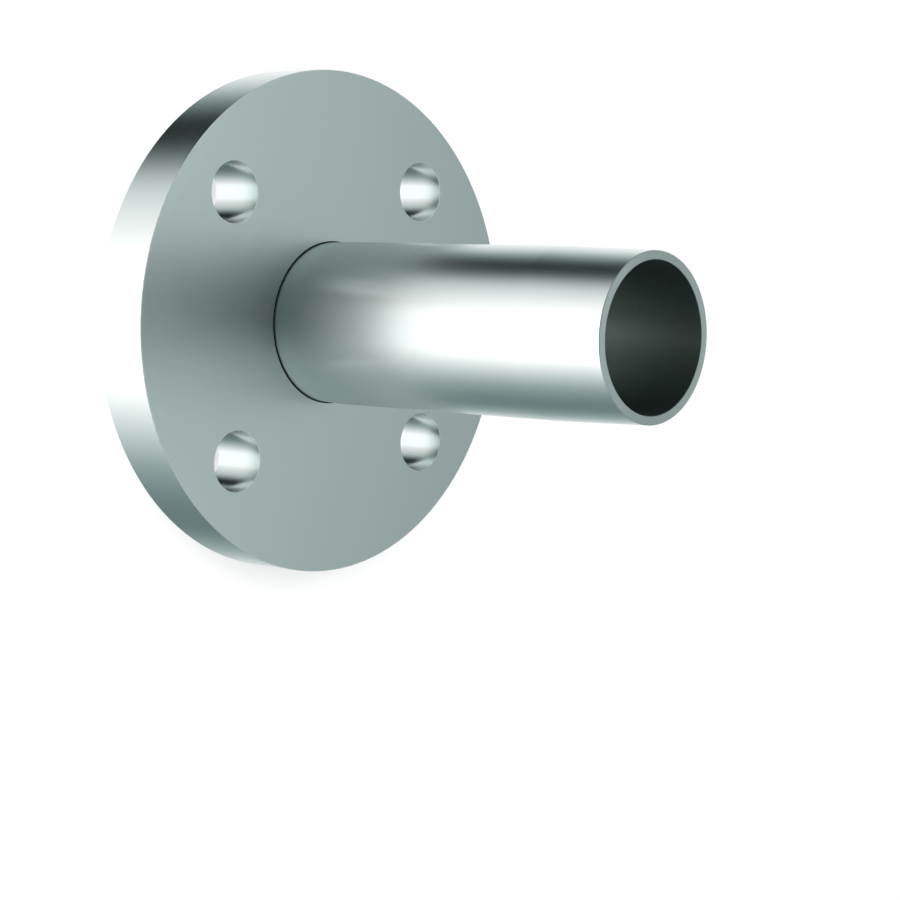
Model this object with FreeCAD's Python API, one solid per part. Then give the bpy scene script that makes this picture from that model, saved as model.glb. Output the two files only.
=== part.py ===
"""Plate flange with a pipe stub screwed into its bore, in millimetres.

The part stands on its mating face: Z is the pipe's axis, and z = 0 is the face that bolts to the
next flange. The pipe is seated in the flange's tapered bore, short of the mating face.
"""
import FreeCAD, Part
import math
import os

# Flange plate
FLANGE_OD = 150.0
FLANGE_THICKNESS = 18.0
RIM_BREAK = 0.15  # edge break round both faces

# Bolt holes, on the diagonals so that they straddle the centre lines
BOLT_CIRCLE = 110.0
BOLT_HOLE_DIAMETER = 18.0
BOLT_COUNT = 4
FIRST_BOLT_ANGLE = 45.0
HOLE_BREAK = 0.15

# Pipe stub
PIPE_OD = 48.3
PIPE_WALL = 3.2
PIPE_TOP = 140.0  # from the mating face to the free end
PIPE_END_BREAK = 0.15

# The free end narrows slightly over its last stretch
LEAD_LENGTH = 31.0
LEAD_REDUCTION = 1.3  # on diameter, at the very end

# Taper seat inside the flange, 1 in 16 on diameter, as a pipe thread has
SEAT_TAPER = 1.0 / 16.0
SEAT_REDUCTION = 1.3  # on diameter, at the pipe's seated end
SEAT_RECESS = 5.0  # how far the pipe's end stays short of the mating face
SEAT_CLEARANCE = 0.1  # radial

# Open groove round the pipe at the flange's front face, which shows as a fine dark ring
RELIEF_GAP = 0.4  # radial, from the pipe's skin
RELIEF_DEPTH = 2.5

# Lead-in of the bore at the mating face
MOUTH_CHAMFER = 1.0


def seat_length():
    """Axial length over which the taper opens from its small end to the full pipe."""
    return SEAT_REDUCTION / SEAT_TAPER


def seat_radius(z):
    """Outer radius of the pipe at height z, within the seat's taper."""
    small_od = PIPE_OD - SEAT_REDUCTION
    return small_od / 2 + (z - SEAT_RECESS) * SEAT_TAPER / 2


def revolve_profile(points):
    """Solid of revolution about Z from a closed outline of (radius, height) points."""
    corners = [FreeCAD.Vector(r, 0, z) for r, z in points]
    outline = Part.makePolygon(corners + corners[:1])
    axis = FreeCAD.Vector(0, 0, 1)
    return Part.Face(outline).revolve(FreeCAD.Vector(0, 0, 0), axis, 360)


def make_plate():
    """Flange disc with broken rim edges, still without its holes."""
    disc = Part.makeCylinder(FLANGE_OD / 2, FLANGE_THICKNESS)
    rim_edges = [e for e in disc.Edges if isinstance(e.Curve, Part.Circle)]
    return disc.makeChamfer(RIM_BREAK, rim_edges)


def bore_cutter():
    """What the seat takes out of the plate: mouth, tapered bore and front relief."""
    overrun = 1.0
    floor_z = FLANGE_THICKNESS - RELIEF_DEPTH
    mouth_r = seat_radius(MOUTH_CHAMFER) + SEAT_CLEARANCE
    deep_r = seat_radius(floor_z) + SEAT_CLEARANCE
    relief_r = seat_radius(FLANGE_THICKNESS) + RELIEF_GAP
    return revolve_profile([
        (0, -overrun),
        (mouth_r + MOUTH_CHAMFER + overrun, -overrun),
        (mouth_r, MOUTH_CHAMFER),
        (deep_r, floor_z),
        (relief_r, floor_z),
        (relief_r, FLANGE_THICKNESS + overrun),
        (0, FLANGE_THICKNESS + overrun),
    ])


def bolt_hole_cutter():
    """One bolt hole on the Z axis, with both edges broken."""
    overrun = 1.0
    r = BOLT_HOLE_DIAMETER / 2
    flare = r + HOLE_BREAK + overrun
    top = FLANGE_THICKNESS
    return revolve_profile([
        (0, -overrun),
        (flare, -overrun),
        (r, HOLE_BREAK),
        (r, top - HOLE_BREAK),
        (flare, top + overrun),
        (0, top + overrun),
    ])


def bolt_places():
    """Centres of the bolt holes, evenly spaced round the bolt circle."""
    places = []
    for i in range(BOLT_COUNT):
        turn = math.radians(FIRST_BOLT_ANGLE + i * 360.0 / BOLT_COUNT)
        reach = BOLT_CIRCLE / 2
        places.append(FreeCAD.Vector(reach * math.cos(turn), reach * math.sin(turn), 0))
    return places


def make_flange():
    """Plate flange: disc, tapered bore with relief, and bolt holes."""
    flange = make_plate().cut(bore_cutter())
    for place in bolt_places():
        hole = bolt_hole_cutter()
        hole.translate(place)
        flange = flange.cut(hole)
    return flange


def make_pipe():
    """Pipe stub: taper seat, full-size body, drawn-down lead and one straight bore."""
    inner = PIPE_OD / 2 - PIPE_WALL
    outer = PIPE_OD / 2
    small = seat_radius(SEAT_RECESS)
    tip = outer - LEAD_REDUCTION / 2
    b = PIPE_END_BREAK
    return revolve_profile([
        (inner + b, SEAT_RECESS),
        (small - b, SEAT_RECESS),
        (seat_radius(SEAT_RECESS + b), SEAT_RECESS + b),
        (outer, SEAT_RECESS + seat_length()),
        (outer, PIPE_TOP - LEAD_LENGTH),
        (tip, PIPE_TOP - b),
        (tip - b, PIPE_TOP),
        (inner + b, PIPE_TOP),
        (inner, PIPE_TOP - b),
        (inner, SEAT_RECESS + b),
    ])


def main():
    os.makedirs("parts", exist_ok=True)
    pieces = {"flange": make_flange(), "pipe": make_pipe()}
    for name, shape in pieces.items():
        solids = len(shape.Solids)
        print(f"{name}: {solids} solid, {shape.Volume / 1000:.1f} cm3, valid {shape.isValid()}")
        shape.exportStep(f"parts/{name}.step")


main()
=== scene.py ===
import math

import bpy
from mathutils import Matrix, Vector


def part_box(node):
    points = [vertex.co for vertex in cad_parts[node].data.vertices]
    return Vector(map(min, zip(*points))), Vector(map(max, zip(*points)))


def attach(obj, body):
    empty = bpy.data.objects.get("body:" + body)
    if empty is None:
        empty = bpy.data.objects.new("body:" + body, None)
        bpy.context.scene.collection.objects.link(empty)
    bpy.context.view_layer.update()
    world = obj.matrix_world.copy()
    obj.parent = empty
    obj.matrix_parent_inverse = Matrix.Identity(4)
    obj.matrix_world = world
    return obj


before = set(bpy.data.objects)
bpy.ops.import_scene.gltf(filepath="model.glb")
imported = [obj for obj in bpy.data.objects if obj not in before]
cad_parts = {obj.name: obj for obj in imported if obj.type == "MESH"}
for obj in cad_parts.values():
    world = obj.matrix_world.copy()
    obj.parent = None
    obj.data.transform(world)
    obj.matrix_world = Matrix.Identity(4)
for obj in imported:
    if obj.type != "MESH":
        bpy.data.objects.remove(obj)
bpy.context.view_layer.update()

MM = 0.001

# Sizes that the finish follows, in metres
PLATE_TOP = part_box("flange")[1].z
PLATE_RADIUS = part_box("flange")[1].x
PIPE_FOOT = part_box("pipe")[0].z
PIPE_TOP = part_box("pipe")[1].z
PIPE_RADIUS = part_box("pipe")[1].x
PIPE_WALL = 3.2 * MM
PIPE_BORE_RADIUS = PIPE_RADIUS - PIPE_WALL

# Camera, as fitted to the photograph's outlines
VIEW_FROM_AXIS = math.radians(47.58)  # between the line of sight and the pipe
VIEW_LEAN = math.radians(5.82)  # of the line of sight towards -X
VIEW_DISTANCE = 723.7 * MM
VIEW_AIM = Vector((0, 0, 60 * MM))
VIEW_SHIFT_RIGHT = 4.4 * MM
VIEW_SHIFT_UP = -35.4 * MM
LENS = 100.27
SENSOR = 36.0
NEAREST_SEEN = 10 * MM


def deselect_all():
    """Nothing selected, so that an operator acts only on what is added next."""
    bpy.ops.object.select_all(action="DESELECT")


def place_camera():
    """Camera that looks at the front face with the pipe pointing right and towards it."""
    out, side = Vector((0, 0, 1)), Vector((0, 1, 0))
    level = math.cos(VIEW_FROM_AXIS) * out - math.sin(VIEW_FROM_AXIS) * side
    back = math.cos(VIEW_LEAN) * level - math.sin(VIEW_LEAN) * Vector((1, 0, 0))
    right = math.sin(VIEW_FROM_AXIS) * out + math.cos(VIEW_FROM_AXIS) * side
    up = back.cross(right)
    place = VIEW_AIM + VIEW_DISTANCE * back + VIEW_SHIFT_RIGHT * right + VIEW_SHIFT_UP * up
    lens = bpy.data.cameras.new("camera")
    lens.lens = LENS
    lens.sensor_width = SENSOR
    lens.clip_start = NEAREST_SEEN
    camera = bpy.data.objects.new("camera", lens)
    turn = Matrix((right, up, back)).transposed()
    camera.matrix_world = Matrix.Translation(place) @ turn.to_4x4()
    bpy.context.scene.collection.objects.link(camera)
    bpy.context.scene.camera = camera


class Nodes:
    """Short way to add and join nodes in one tree."""

    def __init__(self, tree):
        self.tree = tree

    def add(self, kind, **settings):
        """New node with its settings."""
        node = self.tree.nodes.new(kind)
        for name, value in settings.items():
            setattr(node, name, value)
        return node

    def join(self, start, end):
        """Link from an output to an input."""
        self.tree.links.new(start, end)

    def feed(self, socket, value):
        """Joins a socket to another, or sets its value."""
        if isinstance(value, bpy.types.NodeSocket):
            self.join(value, socket)
        else:
            socket.default_value = value

    def math(self, operation, a, b=0.0, c=0.0):
        """Result of one operation on numbers."""
        node = self.add("ShaderNodeMath", operation=operation)
        for socket, value in zip(node.inputs, (a, b, c)):
            self.feed(socket, value)
        return node.outputs[0]

    def both(self, a, b):
        """1 where two masks are 1."""
        return self.math("MULTIPLY", a, b)

    def outside(self, mask):
        """1 where a mask is 0."""
        return self.math("SUBTRACT", 1.0, mask)

    def raised(self, value, mask, amount):
        """A value that is higher by an amount where a mask is 1."""
        return self.math("MULTIPLY_ADD", mask, amount, value)

    def ease(self, value, start, end):
        """0 at start, 1 at end and smooth between, whichever of them is greater."""
        node = self.add("ShaderNodeMapRange", interpolation_type="SMOOTHSTEP")
        for name, number in (("Value", value), ("From Min", start), ("From Max", end)):
            self.feed(node.inputs[name], number)
        return node.outputs["Result"]

    def ease_past(self, value, place, start, end):
        """Ease between two distances past a place, or before it where they are negative."""
        return self.ease(value, place + start, place + end)

    def spread(self, mask, low, high):
        """A mask from 0 to 1 stretched to run from low to high."""
        node = self.add("ShaderNodeMapRange")
        for name, number in (("Value", mask), ("To Min", low), ("To Max", high)):
            self.feed(node.inputs[name], number)
        return node.outputs["Result"]

    def mix(self, kind, factor, a, b):
        """a where factor is 0 and b where it is 1."""
        node = self.add("ShaderNodeMix", data_type=kind)
        for name, value in (("Factor", factor), ("A", a), ("B", b)):
            self.feed(node.inputs[name], value)
        return node.outputs["Result"]

    def blend(self, factor, a, b):
        """Mix of two colours."""
        return self.mix("RGBA", factor, a, b)

    def place(self):
        """Place of a point on the object."""
        return self.add("ShaderNodeTexCoord").outputs["Object"]

    def split(self, vector):
        """X, Y and Z of a vector."""
        parts = self.add("ShaderNodeSeparateXYZ")
        self.join(vector, parts.inputs[0])
        return parts.outputs["X"], parts.outputs["Y"], parts.outputs["Z"]

    def use(self, tree, **values):
        """One use of a shader group, with its inputs set or joined."""
        node = self.add("ShaderNodeGroup", node_tree=tree)
        for label, value in values.items():
            self.feed(node.inputs[label.replace("_", " ")], value)
        return node.outputs


# Studio wall levels by angle round Z, in degrees from the camera's side: plus is towards -X
SWEEP_LEVELS = (
    (-180, 1.10), (-160, 1.02), (-136, 0.48), (-112, 0.19), (-90, 0.23), (-70, 0.37), (-50, 0.74),
    (-34, 1.15), (-22, 1.55), (24, 1.52), (34, 1.14), (46, 0.96), (64, 0.72), (83, 0.09),
    (92, 0.0), (107, 0.0), (121, 0.26), (140, 0.80), (160, 1.08), (180, 1.10),
)
CANOPY_LEVELS = (
    (-180, 0.43), (-168, 0.37), (-150, 0.37), (-100, 0.40), (-60, 0.34), (-32, 0.20), (-12, 0.11),
    (8, 0.08), (50, 0.12), (85, 0.22), (110, 0.32), (150, 0.42), (180, 0.43),
)
CANOPY_RISE = 7.0  # how fast the canopy brightens with the height of a direction
CANOPY_MIDDLE = 0.692  # the height at which it has the levels above
CANOPY_LOW = 0.61  # share of those levels that it keeps near the horizon
CANOPY_HIGH = 1.8  # share of them overhead
HORIZON = 0.2  # half the height over which the sweep turns into the canopy

# How green the walls are: share of red taken out where they are dark, and where white
SWEEP_TINTS = (0.42, 0.02)
CANOPY_TINTS = (0.265, 0.08)
TINT_OVER_WHITE = 0.08  # added for each level above 1, which shows where the highlight fades
BLUE_TINT = 0.08  # share of the tint that blue loses too

WALL_RADIUS = 4.0


def grey_green(level, tint):
    """A grey of some level whose red is lower by the tint, a share from 0 to 1."""
    return (level * (1 - tint), level, level * (1 - BLUE_TINT * tint), 1)


def studio_direction(nodes):
    """Height of a direction, from -1 to 1, and its angle round Z as a share of a turn."""
    unit = nodes.add("ShaderNodeVectorMath", operation="NORMALIZE")
    nodes.join(nodes.place(), unit.inputs[0])
    x, y, height = nodes.split(unit.outputs[0])
    toward = nodes.math("MULTIPLY", y, -1.0)
    aside = nodes.math("MULTIPLY", x, -1.0)
    turn = nodes.math("ARCTAN2", aside, toward)
    share = nodes.math("MULTIPLY_ADD", turn, 1 / math.tau, 0.5)
    return height, share


def wall_ramp(nodes, share, levels, tints):
    """Wall colour by angle, from a short list of levels."""
    tint_at_dark, tint_at_white = tints
    ramp = nodes.add("ShaderNodeValToRGB")
    nodes.join(share, ramp.inputs["Fac"])
    stops = ramp.color_ramp.elements
    stops.remove(stops[1])
    for angle, level in levels:
        stop = stops.new(angle / 360 + 0.5)
        white, over = min(level, 1.0), max(level - 1.0, 0.0)
        tint = tint_at_dark * (1 - white) + tint_at_white * white + TINT_OVER_WHITE * over
        stop.color = grey_green(level, tint)
    stops.remove(stops[0])
    return ramp.outputs["Color"]


def paint_studio_walls():
    """Glow of the walls: a white sweep below, with a dark flag at one side and a grey one at the
    other, and a soft grey canopy above."""
    paint = bpy.data.materials.new("studio_wall_paint")
    paint.use_nodes = True
    paint.node_tree.nodes.clear()
    nodes = Nodes(paint.node_tree)
    height, share = studio_direction(nodes)
    sweep = wall_ramp(nodes, share, SWEEP_LEVELS, SWEEP_TINTS)
    rise = nodes.math("MULTIPLY_ADD", height, CANOPY_RISE, 1 - CANOPY_RISE * CANOPY_MIDDLE)
    rise = nodes.math("MINIMUM", nodes.math("MAXIMUM", rise, CANOPY_LOW), CANOPY_HIGH)
    canopy = nodes.add("ShaderNodeVectorMath", operation="SCALE")
    nodes.join(wall_ramp(nodes, share, CANOPY_LEVELS, CANOPY_TINTS), canopy.inputs[0])
    nodes.join(rise, canopy.inputs["Scale"])
    upper = nodes.ease(height, -HORIZON, HORIZON)
    glow = nodes.add("ShaderNodeEmission")
    nodes.join(nodes.blend(upper, sweep, canopy.outputs[0]), glow.inputs["Color"])
    out = nodes.add("ShaderNodeOutputMaterial")
    nodes.join(glow.outputs[0], out.inputs["Surface"])
    return paint


def make_studio_walls():
    """Round studio wall that only the metal's reflections see."""
    deselect_all()
    bpy.ops.mesh.primitive_uv_sphere_add(segments=48, ring_count=24, radius=WALL_RADIUS)
    walls = bpy.context.object
    walls.name = "studio_walls"
    walls.visible_camera = False
    walls.visible_diffuse = False
    walls.visible_shadow = False
    walls.data.materials.append(paint_studio_walls())


FLOOR_RADIUS = 12.0
FLOOR_SIDES = 128
FLOOR_DROP = 0.1 * MM  # below the mating face
FLOOR_COLOR = (0.86, 0.86, 0.86, 1)
FLOOR_ROUGH = 0.9
FLOOR_LIFT = 0.42  # what the camera sees on top of the lit floor, to make it white
FAR_LIFT = 0.12  # more of it far out, where the lamp adds less
FAR_OUT = (0.4, 2.0)  # metres over which it grows


def paint_floor():
    """Pale paint, lifted to white for the camera and seen through from below."""
    paint = bpy.data.materials.new("floor_paint")
    paint.use_nodes = True
    nodes = Nodes(paint.node_tree)
    surface = paint.node_tree.nodes["Principled BSDF"]
    surface.inputs["Base Color"].default_value = FLOOR_COLOR
    surface.inputs["Roughness"].default_value = FLOOR_ROUGH
    surface.inputs["Specular IOR Level"].default_value = 0.0
    surface.inputs["Emission Color"].default_value = (1, 1, 1, 1)
    reach = nodes.add("ShaderNodeVectorMath", operation="LENGTH")
    nodes.join(nodes.place(), reach.inputs[0])
    far = nodes.ease(reach.outputs["Value"], *FAR_OUT)
    lift = nodes.raised(FLOOR_LIFT, far, FAR_LIFT)
    path = nodes.add("ShaderNodeLightPath")
    lift = nodes.math("MULTIPLY", path.outputs["Is Camera Ray"], lift)
    nodes.join(lift, surface.inputs["Emission Strength"])
    side = nodes.add("ShaderNodeNewGeometry")
    nodes.join(nodes.outside(side.outputs["Backfacing"]), surface.inputs["Alpha"])
    return paint


def make_floor():
    """Pale floor just under the mating face."""
    deselect_all()
    bpy.ops.mesh.primitive_circle_add(
        vertices=FLOOR_SIDES, radius=FLOOR_RADIUS, fill_type="NGON", location=(0, 0, -FLOOR_DROP))
    floor = bpy.context.object
    floor.name = "floor"
    floor.visible_glossy = False
    floor.visible_shadow = False
    floor.data.materials.append(paint_floor())


WORLD_LEVEL = 0.55
LAMP_SIZE = 1.6
LAMP_POWER = 14.0
LAMP_PLACE = Vector((-0.5, -0.9, 1.7))


def light_world():
    """Even pale light from all round, white to the camera and in reflections."""
    world = bpy.data.worlds.new("studio")
    world.use_nodes = True
    nodes = Nodes(world.node_tree)
    path = nodes.add("ShaderNodeLightPath")
    seen = nodes.math("MAXIMUM", path.outputs["Is Camera Ray"], path.outputs["Is Glossy Ray"])
    seen = nodes.math("MAXIMUM", seen, path.outputs["Is Transmission Ray"])
    background = world.node_tree.nodes["Background"]
    background.inputs["Color"].default_value = (1, 1, 1, 1)
    nodes.join(nodes.spread(seen, WORLD_LEVEL, 1.0), background.inputs["Strength"])
    bpy.context.scene.world = world


def hang_soft_lamp():
    """One large soft lamp, above and to the camera's side, that gives the floor its shadow."""
    lamp = bpy.data.lights.new("soft_lamp", "AREA")
    lamp.shape = "DISK"
    lamp.size = LAMP_SIZE
    lamp.energy = LAMP_POWER
    lamp_object = bpy.data.objects.new("soft_lamp", lamp)
    lamp_object.location = LAMP_PLACE
    lamp_object.rotation_mode = "QUATERNION"
    lamp_object.rotation_quaternion = LAMP_PLACE.to_track_quat("Z", "Y")
    lamp_object.visible_glossy = False
    bpy.context.scene.collection.objects.link(lamp_object)


FLOAT = "NodeSocketFloat"

# Fine marks: noise detail of the lines, and the scale and detail of their broad tone
LINE_DETAIL = 3.0
TONE_SCALE = 0.23
TONE_DETAIL = 2.0
MOTTLE_DETAIL = 4.0


def new_group(name, inputs, outputs):
    """Empty shader group with named numbers in and out, and the ends of its inside."""
    tree = bpy.data.node_groups.new(name, "ShaderNodeTree")
    for label, value in inputs:
        socket = tree.interface.new_socket(label, in_out="INPUT", socket_type=FLOAT)
        socket.default_value = value
    for label in outputs:
        tree.interface.new_socket(label, in_out="OUTPUT", socket_type=FLOAT)
    nodes = Nodes(tree)
    return tree, nodes, nodes.add("NodeGroupInput"), nodes.add("NodeGroupOutput")


def make_polar_group():
    """Place on the part: distance from the pipe's axis and height in mm, angle in turns."""
    tree, nodes, _, end = new_group("place_round_the_axis", (), ("Radius", "Turn", "Height"))
    x, y, z = nodes.split(nodes.place())
    squares = nodes.math("ADD", nodes.math("MULTIPLY", x, x), nodes.math("MULTIPLY", y, y))
    radius = nodes.math("SQRT", squares)
    nodes.join(nodes.math("MULTIPLY", radius, 1 / MM), end.inputs["Radius"])
    turn = nodes.math("ARCTAN2", y, x)
    nodes.join(nodes.math("DIVIDE", turn, math.tau), end.inputs["Turn"])
    nodes.join(nodes.math("MULTIPLY", z, 1 / MM), end.inputs["Height"])
    return tree


def make_tool_marks_group():
    """Fine marks that a lathe tool or a die leaves: lines across a measure, broken up at random."""
    inputs = (("Across", 0.0), ("Along", 0.0), ("Lines Per Unit", 3.0), ("Breaks Per Unit", 4.0))
    tree, nodes, start, end = new_group("tool_marks", inputs, ("Height", "Tone"))
    across = nodes.math("MULTIPLY", start.outputs["Across"], start.outputs["Lines Per Unit"])
    along = nodes.math("MULTIPLY", start.outputs["Along"], start.outputs["Breaks Per Unit"])
    spot = nodes.add("ShaderNodeCombineXYZ")
    nodes.join(across, spot.inputs["X"])
    nodes.join(along, spot.inputs["Y"])
    looks = (("Height", 1.0, LINE_DETAIL), ("Tone", TONE_SCALE, TONE_DETAIL))
    for label, scale, detail in looks:
        noise = nodes.add("ShaderNodeTexNoise")
        noise.inputs["Scale"].default_value = scale
        noise.inputs["Detail"].default_value = detail
        nodes.join(spot.outputs[0], noise.inputs["Vector"])
        nodes.join(noise.outputs["Fac"], end.inputs[label])
    return tree


def make_mottle_group():
    """Soft uneven patches, as on clean steel that has been handled, their size in mm."""
    tree, nodes, start, end = new_group("soft_mottle", (("Patch Size", 20.0),), ("Mask",))
    noise = nodes.add("ShaderNodeTexNoise")
    noise.inputs["Detail"].default_value = MOTTLE_DETAIL
    scale = nodes.math("DIVIDE", 1 / MM, start.outputs["Patch Size"])
    nodes.join(scale, noise.inputs["Scale"])
    nodes.join(nodes.place(), noise.inputs["Vector"])
    nodes.join(noise.outputs["Fac"], end.inputs["Mask"])
    return tree


STEEL_LIGHT = (0.925, 0.93, 0.92, 1)
STEEL_DULL = (0.875, 0.885, 0.875, 1)
PIPE_BRIGHT = (0.97, 0.97, 0.96, 1)
# Painted shade on the pipe near the plate's front face
PIPE_ROOT_SHADE = (0.76, 0.825, 0.81, 1)
# Painted shade on the bolt holes' walls: near the front face, and deeper in
HOLE_LIP_SHADE = (0.51, 0.575, 0.555, 1)
HOLE_DEEP_SHADE = (0.68, 0.70, 0.69, 1)
MATING_DULL = (0.40, 0.42, 0.41, 1)
MATING_LIGHT = (0.51, 0.575, 0.555, 1)
# Near-black painted shade on the walls of the groove round the pipe
GROOVE_PAINTED_SHADE = (0.02, 0.024, 0.023, 1)
# Painted shade inside the pipe's bore: darkest at its mouth, lighter deeper in
BORE_MOUTH_SHADE = (0.34, 0.38, 0.365, 1)
BORE_DEEP_SHADE = (0.62, 0.66, 0.64, 1)

MARKS_IN_TONE = 0.6  # share of the marks in a surface's tone, the rest being mottle


def new_metal(name):
    """Bare metal with its nodes and its shader."""
    metal = bpy.data.materials.new(name)
    metal.use_nodes = True
    surface = metal.node_tree.nodes["Principled BSDF"]
    surface.inputs["Metallic"].default_value = 1.0
    return metal, Nodes(metal.node_tree), surface


def steel_tone(nodes, marks, mottle):
    """Light and dull patches of a steel surface, from 0 to 1."""
    share = nodes.math("MULTIPLY", mottle["Mask"], 1 - MARKS_IN_TONE)
    return nodes.math("MULTIPLY_ADD", marks["Tone"], MARKS_IN_TONE, share)


def add_marks_relief(nodes, marks, surface, depth):
    """Fine relief of the tool marks on a surface, its depth in metres."""
    bump = nodes.add("ShaderNodeBump")
    bump.inputs["Strength"].default_value = 1.0
    bump.inputs["Distance"].default_value = depth
    nodes.join(marks["Height"], bump.inputs["Height"])
    nodes.join(bump.outputs["Normal"], surface.inputs["Normal"])


# Groove round the pipe: where the painted shade on its walls starts and ends, in mm
GROOVE_MOUTH = (-0.05, -0.30)  # past the plate's front face
GROOVE_FLOOR = (-3.1, -2.6)  # past it too
GROOVE_WIDTH = (1.2, 0.8)  # past the pipe's skin


def groove_shade_mask(nodes, polar):
    """1 on the walls of the narrow ring round the pipe where it enters the plate, where shade is
    painted.
    """
    top, skin = PLATE_TOP / MM, PIPE_RADIUS / MM
    below = nodes.ease_past(polar["Height"], top, *GROOVE_MOUTH)
    above = nodes.ease_past(polar["Height"], top, *GROOVE_FLOOR)
    near = nodes.ease_past(polar["Radius"], skin, *GROOVE_WIDTH)
    return nodes.both(nodes.both(below, above), near)


# Turned plate: its tool marks and the size of its mottle, lengths in mm
RINGS_PER_MM = 3.2
RING_BREAKS = 9.0  # in a turn
RING_DEPTH = 0.0015
PLATE_PATCH = 45.0

# Where its surfaces start and end, by the upright share of a normal
FLAT_FROM = (0.5, 0.8)
EDGE_FROM = (0.45, 0.6)
EDGE_UP_TO = (0.95, 0.85)

# Where its finishes and its painted shade change, in mm
RIM_STARTS = (-0.10, -0.04)  # past the plate's radius
MATING_STARTS = (0.10, 0.04)  # above the mating face
# Span of the painted shade that darkens the hole walls towards the front face
HOLE_SHADE_SPAN = (-7.0, -0.5)  # past the front face
LIP_STARTS = (-1.5, -1.0)  # past it too

# How rough and how metallic it is
FACE_ROUGH = (0.36, 0.28)  # dull and light patches
WALL_ROUGH = 0.7  # share of the faces' roughness on the rim and in the holes
EDGE_ROUGHER = 0.1
MATING_ROUGHER = 0.12
LIP_LESS_METALLIC = 0.75


def plate_zones(nodes, polar):
    """Masks of the plate's flat faces, broken edges, rim, mating face and hole lips."""
    facing = nodes.add("ShaderNodeNewGeometry")
    upright = nodes.math("ABSOLUTE", nodes.split(facing.outputs["True Normal"])[2])
    edge = nodes.both(nodes.ease(upright, *EDGE_FROM), nodes.ease(upright, *EDGE_UP_TO))
    rim = nodes.ease_past(polar["Radius"], PLATE_RADIUS / MM, *RIM_STARTS)
    near_front = nodes.ease_past(polar["Height"], PLATE_TOP / MM, *LIP_STARTS)
    return {
        "flat": nodes.ease(upright, *FLAT_FROM),
        "edge": edge,
        "rim": rim,
        "mating": nodes.ease(polar["Height"], *MATING_STARTS),
        "lip": nodes.both(nodes.both(edge, nodes.outside(rim)), near_front),
    }


def plate_colour(nodes, polar, zones, tone):
    """Light faces and rim, painted shade on the hole walls, darkest near the front face, a dull
    mating face and painted shade in the groove.
    """
    skin = nodes.blend(tone, STEEL_DULL, STEEL_LIGHT)
    drilled = nodes.both(nodes.outside(zones["flat"]), nodes.outside(zones["rim"]))
    # Painted shade on the hole walls, darker still towards the front face
    lip_shade = nodes.ease_past(polar["Height"], PLATE_TOP / MM, *HOLE_SHADE_SPAN)
    skin = nodes.blend(drilled, skin, nodes.blend(lip_shade, HOLE_DEEP_SHADE, HOLE_LIP_SHADE))
    mating_skin = nodes.blend(tone, MATING_DULL, MATING_LIGHT)
    skin = nodes.blend(zones["mating"], skin, mating_skin)
    # Painted shade on the groove's walls
    return nodes.blend(groove_shade_mask(nodes, polar), skin, GROOVE_PAINTED_SHADE)


def plate_roughness(nodes, zones, tone):
    """Smoother walls than faces, rougher edges and a rougher mating face."""
    face = nodes.spread(tone, *FACE_ROUGH)
    wall = nodes.math("MULTIPLY", face, WALL_ROUGH)
    rough = nodes.mix("FLOAT", zones["flat"], wall, face)
    rough = nodes.raised(rough, zones["edge"], EDGE_ROUGHER)
    return nodes.raised(rough, zones["mating"], MATING_ROUGHER)


def turned_plate_steel(groups):
    """Turned steel of the plate: rings on the faces, fine lines round the rim and in the holes."""
    metal, nodes, surface = new_metal("turned_plate_steel")
    polar = nodes.use(groups["polar"])
    zones = plate_zones(nodes, polar)
    across = nodes.mix("FLOAT", zones["flat"], polar["Height"], polar["Radius"])
    marks = nodes.use(groups["marks"], Across=across, Along=polar["Turn"],
                      Lines_Per_Unit=RINGS_PER_MM, Breaks_Per_Unit=RING_BREAKS)
    tone = steel_tone(nodes, marks, nodes.use(groups["mottle"], Patch_Size=PLATE_PATCH))
    nodes.join(plate_colour(nodes, polar, zones, tone), surface.inputs["Base Color"])
    nodes.join(plate_roughness(nodes, zones, tone), surface.inputs["Roughness"])
    metallic = nodes.raised(1.0, zones["lip"], -LIP_LESS_METALLIC)
    nodes.join(metallic, surface.inputs["Metallic"])
    add_marks_relief(nodes, marks, surface, RING_DEPTH * MM)
    return metal


# Drawn pipe: its tool marks and the size of its mottle, lengths in mm
LINES_PER_TURN = 420.0
LINE_BREAKS = 0.03  # in a mm
LINE_DEPTH = 0.0008
PIPE_PATCH = 30.0

# Where its finishes and its painted shade change, in mm
BORE_STARTS = (0.12, 0.04)  # past the bore's radius
# Span of the painted shade on the pipe near the plate
ROOT_SHADE_SPAN = (52.0, 12.0)  # above the plate's front face
ROOT_ROUGHENS = (46.0, 20.0)  # above it too
# Span over which the painted shade in the bore lightens
BORE_SHADE_FADES = (0.0, -45.0)  # past the free end

# How rough it is, and how far its reflections are drawn out
PIPE_ROUGH = (0.30, 0.28)  # dull and light patches
ROOT_ROUGHER = 0.06
BORE_ROUGHER = 0.14
DRAWN_OUT = 0.5
QUARTER_TURN = 0.25


def draw_out_reflections(nodes, surface):
    """Draws reflections out along the pipe's axis, as fine marks round a polished tube do."""
    surface.inputs["Anisotropic"].default_value = DRAWN_OUT
    surface.inputs["Anisotropic Rotation"].default_value = QUARTER_TURN
    round_axis = nodes.add("ShaderNodeTangent", direction_type="RADIAL", axis="Z")
    nodes.join(round_axis.outputs["Tangent"], surface.inputs["Tangent"])


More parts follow.
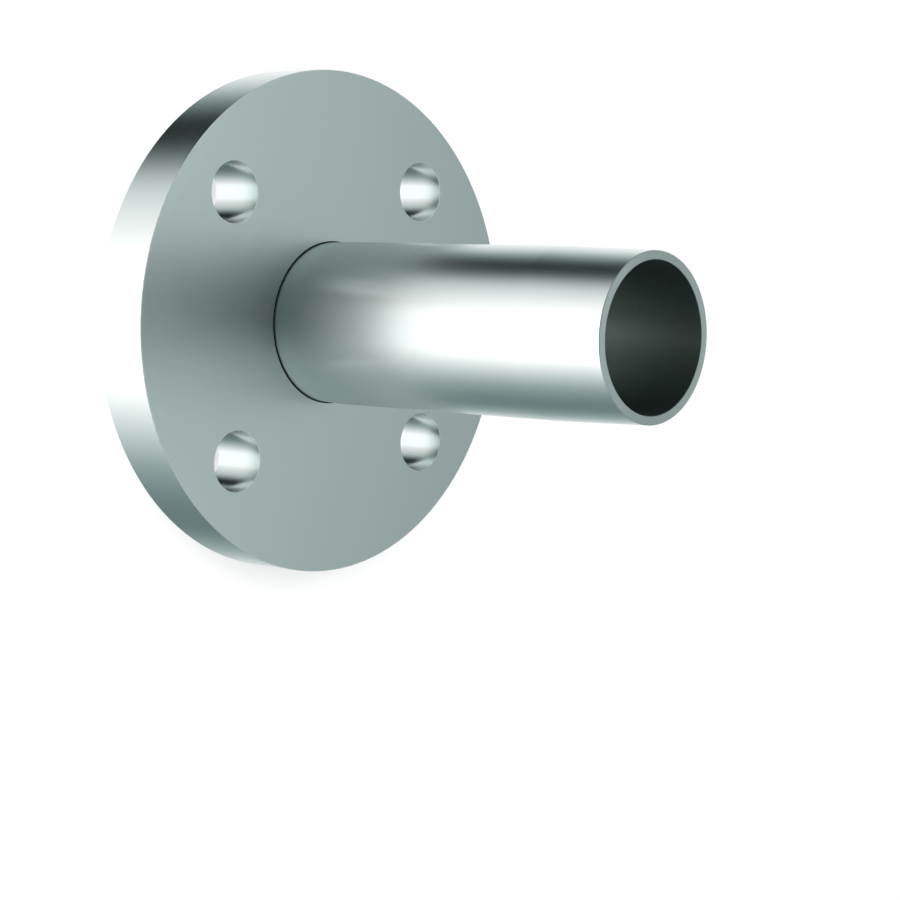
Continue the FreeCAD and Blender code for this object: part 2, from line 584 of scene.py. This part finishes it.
def pipe_colour(nodes, polar, bore, tone):
    """Bright skin with painted shade near the plate and in the groove, and painted shade in the
    bore, darkest at its mouth.
    """
    skin = nodes.blend(tone, STEEL_LIGHT, PIPE_BRIGHT)
    # Painted shade on the pipe, darker towards the plate
    root = nodes.ease_past(polar["Height"], PLATE_TOP / MM, *ROOT_SHADE_SPAN)
    skin = nodes.blend(root, skin, PIPE_ROOT_SHADE)
    # Painted shade on the groove's walls
    skin = nodes.blend(groove_shade_mask(nodes, polar), skin, GROOVE_PAINTED_SHADE)
    # Painted shade in the bore, darkest at the free end's mouth
    bore_shade_fade = nodes.ease_past(polar["Height"], PIPE_TOP / MM, *BORE_SHADE_FADES)
    return nodes.blend(bore, skin, nodes.blend(bore_shade_fade, BORE_MOUTH_SHADE, BORE_DEEP_SHADE))


def drawn_pipe_steel(groups):
    """Polished tube with faint lines along the skin, rougher and with painted shade near the plate,
    and painted shade inside.
    """
    metal, nodes, surface = new_metal("drawn_pipe_steel")
    polar = nodes.use(groups["polar"])
    bore = nodes.ease_past(polar["Radius"], PIPE_BORE_RADIUS / MM, *BORE_STARTS)
    marks = nodes.use(groups["marks"], Across=polar["Turn"], Along=polar["Height"],
                      Lines_Per_Unit=LINES_PER_TURN, Breaks_Per_Unit=LINE_BREAKS)
    tone = steel_tone(nodes, marks, nodes.use(groups["mottle"], Patch_Size=PIPE_PATCH))
    nodes.join(pipe_colour(nodes, polar, bore, tone), surface.inputs["Base Color"])
    root = nodes.ease_past(polar["Height"], PLATE_TOP / MM, *ROOT_ROUGHENS)
    rough = nodes.raised(nodes.spread(tone, *PIPE_ROUGH), root, ROOT_ROUGHER)
    nodes.join(nodes.raised(rough, bore, BORE_ROUGHER), surface.inputs["Roughness"])
    draw_out_reflections(nodes, surface)
    add_marks_relief(nodes, marks, surface, LINE_DEPTH * MM)
    return metal


def dress_nodes():
    """Puts the finishes on the two pieces."""
    groups = {
        "polar": make_polar_group(),
        "marks": make_tool_marks_group(),
        "mottle": make_mottle_group(),
    }
    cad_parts["flange"].data.materials[0] = turned_plate_steel(groups)
    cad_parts["pipe"].data.materials[0] = drawn_pipe_steel(groups)


# Fine thread of the bore, as far as it shows between the mouth's chamfer and the pipe's end
THREAD_PITCH = 2.309 * MM
THREAD_DEPTH = 1.45 * MM
THREAD_CREST = 0.35 * MM  # flat along the ridge's top
THREAD_FOOT = 0.92 * THREAD_PITCH
THREAD_TURNS = 4
STEPS_PER_TURN = 96
TURNS_BELOW_MOUTH = 1.2  # from the chamfer's inner end, and cut back later
MOUTH_DEPTH = 1.0 * MM
MOUTH_RADIUS = 23.475 * MM  # of the bore where the mouth's chamfer ends
BORE_WALL_RADIUS = 23.65 * MM  # just inside the bore's wall, so that the ridge stands in it
CUTTER_LOW = -2 * THREAD_PITCH  # lower end of the cone that cuts the thread back
CUTTER_HIGH = 2.6 * MM  # its upper end
CUTTER_SIDES = 192
CLEAR_OF_PIPE = 0.08 * MM
WELD_DISTANCE = 0.001 * MM
SMOOTH_UNDER = math.radians(35)


def thread_outline():
    """Flat outline of the ridge in the X-Z plane: wide at the wall, narrow at its crest."""
    crest = MOUTH_RADIUS - THREAD_DEPTH
    start = MOUTH_DEPTH - TURNS_BELOW_MOUTH * THREAD_PITCH
    middle = ((BORE_WALL_RADIUS + crest) / 2, 0, start)
    deselect_all()
    bpy.ops.mesh.primitive_plane_add(size=1.0, location=middle, rotation=(math.pi / 2, 0, 0))
    thread = bpy.context.object
    thread.name = "bore_thread"
    thread.scale = (BORE_WALL_RADIUS - crest, THREAD_FOOT, 1)
    bpy.ops.object.transform_apply(location=True, rotation=True, scale=True)
    for corner in thread.data.vertices:
        corner.select = corner.co.x < middle[0]
    bpy.ops.object.mode_set(mode="EDIT")
    bpy.ops.transform.resize(value=(1, 1, THREAD_CREST / THREAD_FOOT))
    bpy.ops.mesh.select_all(action="SELECT")
    bpy.ops.mesh.delete(type="ONLY_FACE")
    bpy.ops.object.mode_set(mode="OBJECT")
    return thread


def wind_up(thread):
    """Winds the outline into a right-handed ridge with closed ends."""
    winding = thread.modifiers.new("winding", "SCREW")
    winding.axis = "Z"
    winding.angle = math.tau
    winding.screw_offset = THREAD_PITCH
    winding.iterations = THREAD_TURNS
    winding.steps = winding.render_steps = STEPS_PER_TURN
    bpy.ops.object.modifier_apply(modifier="winding")
    bpy.ops.object.mode_set(mode="EDIT")
    bpy.ops.mesh.select_all(action="SELECT")
    bpy.ops.mesh.fill_holes(sides=4)
    bpy.ops.mesh.normals_make_consistent(inside=False)
    bpy.ops.object.mode_set(mode="OBJECT")


def cut_lead_in(thread):
    """Cuts the ridge back along the cone of the mouth's chamfer."""
    cone = MOUTH_RADIUS + MOUTH_DEPTH
    bpy.ops.mesh.primitive_cone_add(
        vertices=CUTTER_SIDES, radius1=cone - CUTTER_LOW, radius2=cone - CUTTER_HIGH,
        depth=CUTTER_HIGH - CUTTER_LOW, location=(0, 0, (CUTTER_LOW + CUTTER_HIGH) / 2))
    cutter = bpy.context.object
    deselect_all()
    thread.select_set(True)
    bpy.context.view_layer.objects.active = thread
    lead_in = thread.modifiers.new("lead_in", "BOOLEAN")
    lead_in.operation = "DIFFERENCE"
    lead_in.solver = "EXACT"
    lead_in.object = cutter
    bpy.ops.object.modifier_apply(modifier="lead_in")
    bpy.data.objects.remove(cutter)


def trim_at_pipe():
    """Cuts the thread off flat just under the pipe's foot."""
    bpy.ops.object.mode_set(mode="EDIT")
    bpy.ops.mesh.select_all(action="SELECT")
    bpy.ops.mesh.bisect(plane_co=(0, 0, PIPE_FOOT - CLEAR_OF_PIPE), plane_no=(0, 0, 1),
                        use_fill=True, clear_outer=True, threshold=WELD_DISTANCE)
    bpy.ops.mesh.select_all(action="SELECT")
    bpy.ops.mesh.normals_make_consistent(inside=False)
    bpy.ops.object.mode_set(mode="OBJECT")


def make_bore_thread():
    """Fine thread in the bore's mouth, stopped short of the pipe's seated end."""
    thread = thread_outline()
    wind_up(thread)
    cut_lead_in(thread)
    trim_at_pipe()
    bpy.ops.object.shade_smooth_by_angle(angle=SMOOTH_UNDER)
    thread.data.materials.append(bpy.data.materials["turned_plate_steel"])
    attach(thread, "root")


bpy.context.scene.view_settings.view_transform = "Standard"
place_camera()
make_floor()
make_studio_walls()
light_world()
hang_soft_lamp()
dress_nodes()
make_bore_thread()
